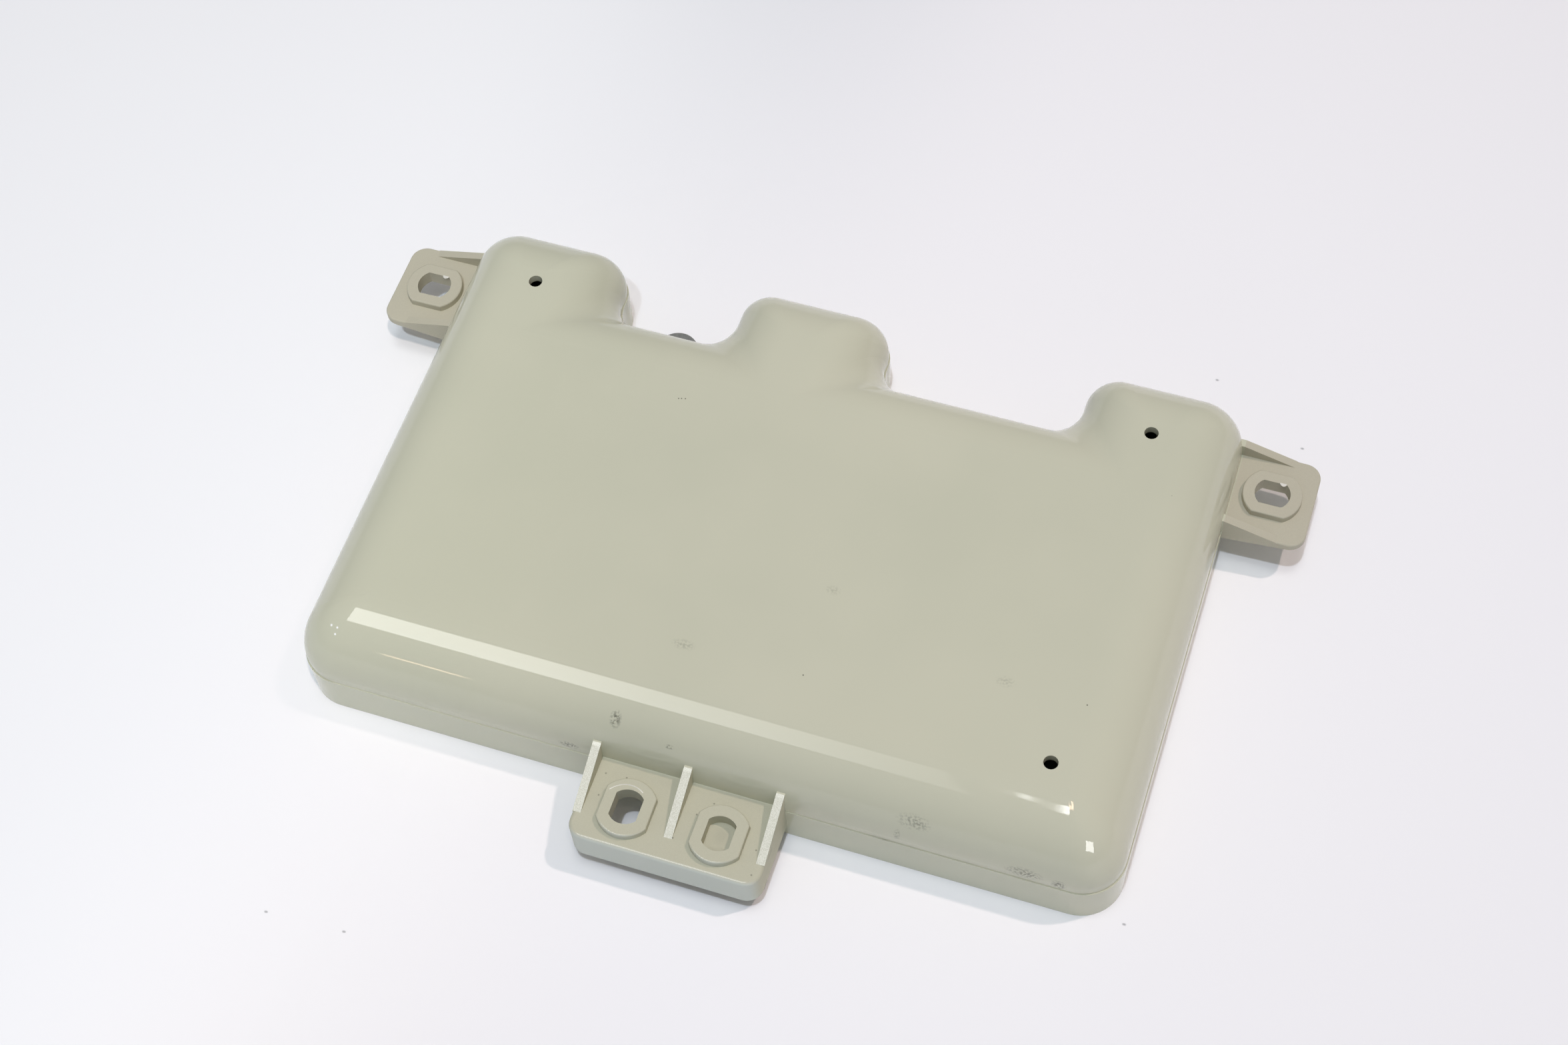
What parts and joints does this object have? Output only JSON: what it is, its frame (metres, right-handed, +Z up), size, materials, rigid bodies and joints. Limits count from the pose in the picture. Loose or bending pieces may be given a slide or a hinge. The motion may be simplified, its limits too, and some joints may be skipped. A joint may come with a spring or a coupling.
{
  "type": "injection moulded plastic housing",
  "caption": "Shallow moulded cover housing with a rounded top, two notches in its rear edge, slotted side ears, a ribbed front lug and a bushed rear tab.",
  "frame": {"origin": "under the middle of the overall width and depth, on the plane of the rim", "axes": "+Z up from the open rim to the closed top, +X along the long side, +Y from the front lug to the notched rear edge"},
  "size_m": [0.2394, 0.1518, 0.03],
  "materials": {
    "grey_plastic": "semi gloss, matte on the ears and lug",
    "steel": "turned, dull"
  },
  "bodies": {
    "root": {"housing": "grey_plastic", "bush": "steel"}
  },
  "joints": []
}
